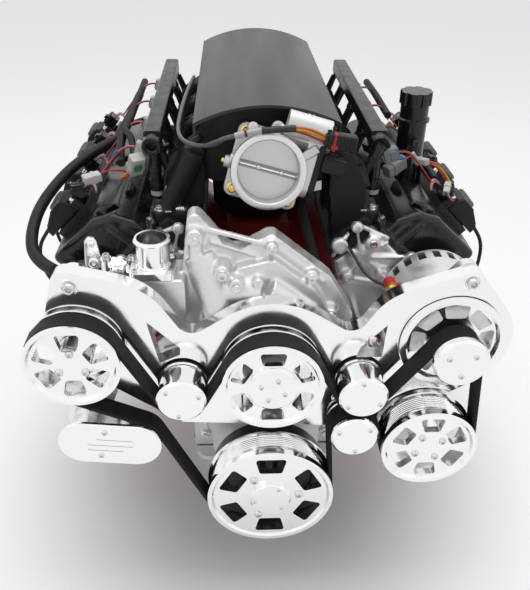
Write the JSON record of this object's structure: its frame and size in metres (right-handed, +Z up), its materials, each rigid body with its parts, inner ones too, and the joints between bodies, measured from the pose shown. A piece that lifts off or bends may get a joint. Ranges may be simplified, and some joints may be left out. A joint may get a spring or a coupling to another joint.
{
  "type": "complete v8 engine",
  "caption": "Complete V-type piston engine with front accessory drive: painted block, cast heads, black valve covers and coils, arched intake cover, throttle and belt-driven pulleys.",
  "frame": {"origin": "on the crank axis, in the plane of the block's rear face", "axes": "+Y to the rear along the crank axis, +Z up, +X to the right as seen from the front"},
  "size_m": [0.7414, 0.762, 0.706],
  "materials": {
    "painted_block": "painted",
    "cast_aluminium": "cast",
    "polished_aluminium": "polished",
    "steel": "machined",
    "dark_iron": "machined",
    "black_metal": "satin",
    "black_plastic": "satin",
    "grey_cover": "satin",
    "belt_rubber": "matte",
    "grey_cable": "matte"
  },
  "bodies": {
    "engine": {"engine_block": "painted_block", "main_bearing_caps": "dark_iron", "timing_chain": "steel", "front_cover": "cast_aluminium", "rear_cover": "cast_aluminium", "oil_pan": "cast_aluminium", "oil_filter": "black_metal", "cylinder_head_right": "cast_aluminium", "cylinder_head_left": "cast_aluminium", "head_gaskets": "dark_iron", "valve_cover_right": "black_metal", "valve_cover_left": "black_metal", "intake_manifold": "black_plastic", "fuel_rails": "black_metal", "fuel_injectors": "black_plastic", "manifold_cover": "grey_cover", "throttle_body": "cast_aluminium", "throttle_gear_cover": "cast_aluminium", "throttle_connector": "black_plastic", "ignition_coils_right": "black_plastic", "ignition_coils_left": "black_plastic", "coil_rails": "black_metal", "oil_filler_neck": "black_plastic", "dipstick_tube": "black_metal", "drive_belt": "belt_rubber", "accessory_bracket": "polished_aluminium", "bracket_standoffs": "polished_aluminium", "water_pump": "cast_aluminium", "coolant_neck": "polished_aluminium", "compressor_body": "polished_aluminium", "alternator_housing": "polished_aluminium", "alternator_front_frame": "polished_aluminium", "steering_pump": "polished_aluminium", "tensioner_base": "polished_aluminium", "coolant_hose": "belt_rubber", "throttle_cable": "grey_cable", "wiring_loom": "belt_rubber", "plug_leads": "belt_rubber"},
    "crank": {"crankshaft": "steel", "crank_sprocket": "steel", "harmonic_damper": "black_metal", "crank_pulley": "polished_aluminium", "crank_pulley_cap": "polished_aluminium", "flexplate": "steel"},
    "cam": {"camshaft": "steel", "cam_sprocket": "steel"},
    "water_pump_drive": {"water_pump_pulley": "polished_aluminium"},
    "compressor_drive": {"compressor_pulley": "polished_aluminium"},
    "steering_drive": {"steering_pulley": "polished_aluminium"},
    "alternator_drive": {"alternator_pulley": "polished_aluminium"},
    "idler_left": {"idler_pulley_left": "polished_aluminium"},
    "idler_right": {"idler_pulley_right": "polished_aluminium"},
    "idler_lower": {"idler_pulley_lower": "polished_aluminium"},
    "tensioner": {"tensioner_arm": "polished_aluminium", "tensioner_cover": "polished_aluminium"},
    "tensioner_wheel": {"tensioner_pulley": "polished_aluminium"},
    "blade": {"throttle_blade": "polished_aluminium"},
    "filler_cap": {"oil_filler_cap": "black_plastic"},
    "stick": {"dipstick": "steel"}
  },
  "joints": [
    {"name": "crank_spin", "type": "hinge", "parent": "engine", "child": "crank", "pos_m": [0, -0.26, 0], "axis": [0, 1, 0], "continuous": true},
    {"name": "cam_spin", "type": "hinge", "parent": "engine", "child": "cam", "pos_m": [0, -0.26, 0.1245], "axis": [0, 1, 0], "continuous": true},
    {"name": "water_pump_spin", "type": "hinge", "parent": "engine", "child": "water_pump_drive", "pos_m": [0, -0.67, 0.205], "axis": [0, 1, 0], "continuous": true},
    {"name": "compressor_spin", "type": "hinge", "parent": "engine", "child": "compressor_drive", "pos_m": [-0.259, -0.67, 0.247], "axis": [0, 1, 0], "continuous": true},
    {"name": "steering_spin", "type": "hinge", "parent": "engine", "child": "steering_drive", "pos_m": [0.224, -0.67, 0.094], "axis": [0, 1, 0], "continuous": true},
    {"name": "alternator_spin", "type": "hinge", "parent": "engine", "child": "alternator_drive", "pos_m": [0.244, -0.67, 0.249], "axis": [0, 1, 0], "continuous": true},
    {"name": "idler_left_spin", "type": "hinge", "parent": "engine", "child": "idler_left", "pos_m": [-0.122, -0.67, 0.19], "axis": [0, 1, 0], "continuous": true},
    {"name": "idler_right_spin", "type": "hinge", "parent": "engine", "child": "idler_right", "pos_m": [0.122, -0.67, 0.19], "axis": [0, 1, 0], "continuous": true},
    {"name": "idler_lower_spin", "type": "hinge", "parent": "engine", "child": "idler_lower", "pos_m": [0.116, -0.67, 0.1175], "axis": [0, 1, 0], "continuous": true},
    {"name": "tensioner_swing", "type": "hinge", "parent": "engine", "child": "tensioner", "pos_m": [-0.2586, -0.66, 0.115], "axis": [0, 1, 0], "range_deg": [0, 15], "stiffness_Nm_per_rad": 12, "springref_deg": -34.38},
    {"name": "tensioner_wheel_spin", "type": "hinge", "parent": "tensioner", "child": "tensioner_wheel", "pos_m": [-0.189, -0.67, 0.107], "axis": [0, 1, 0], "continuous": true},
    {"name": "throttle_turn", "type": "hinge", "parent": "engine", "child": "blade", "pos_m": [0, -0.47072, 0.4247], "axis": [0.9659, -0.0582, -0.2522], "range_deg": [0, 75], "stiffness_Nm_per_rad": 0.3, "springref_deg": -11.46},
    {"name": "filler_cap_twist", "type": "hinge", "parent": "engine", "child": "filler_cap", "pos_m": [0.237, -0.336, 0.485], "axis": [0, 0, 1], "range_deg": [0, 90]},
    {"name": "dipstick_pull", "type": "slide", "parent": "engine", "child": "stick", "axis": [-0.7071, 0, 0.7071], "range_m": [0, 0.3]}
  ],
  "couplings": [
    {"joint": "cam_spin", "follows": "crank_spin", "ratio": 0.5},
    {"joint": "water_pump_spin", "follows": "crank_spin", "ratio": 1.3692},
    {"joint": "compressor_spin", "follows": "crank_spin", "ratio": 1.5085},
    {"joint": "steering_spin", "follows": "crank_spin", "ratio": 1.3906},
    {"joint": "alternator_spin", "follows": "crank_spin", "ratio": 3.069},
    {"joint": "idler_left_spin", "follows": "crank_spin", "ratio": -2.871},
    {"joint": "idler_right_spin", "follows": "crank_spin", "ratio": -2.871},
    {"joint": "idler_lower_spin", "follows": "crank_spin", "ratio": -2.871},
    {"joint": "tensioner_wheel_spin", "follows": "crank_spin", "ratio": -2.697}
  ]
}
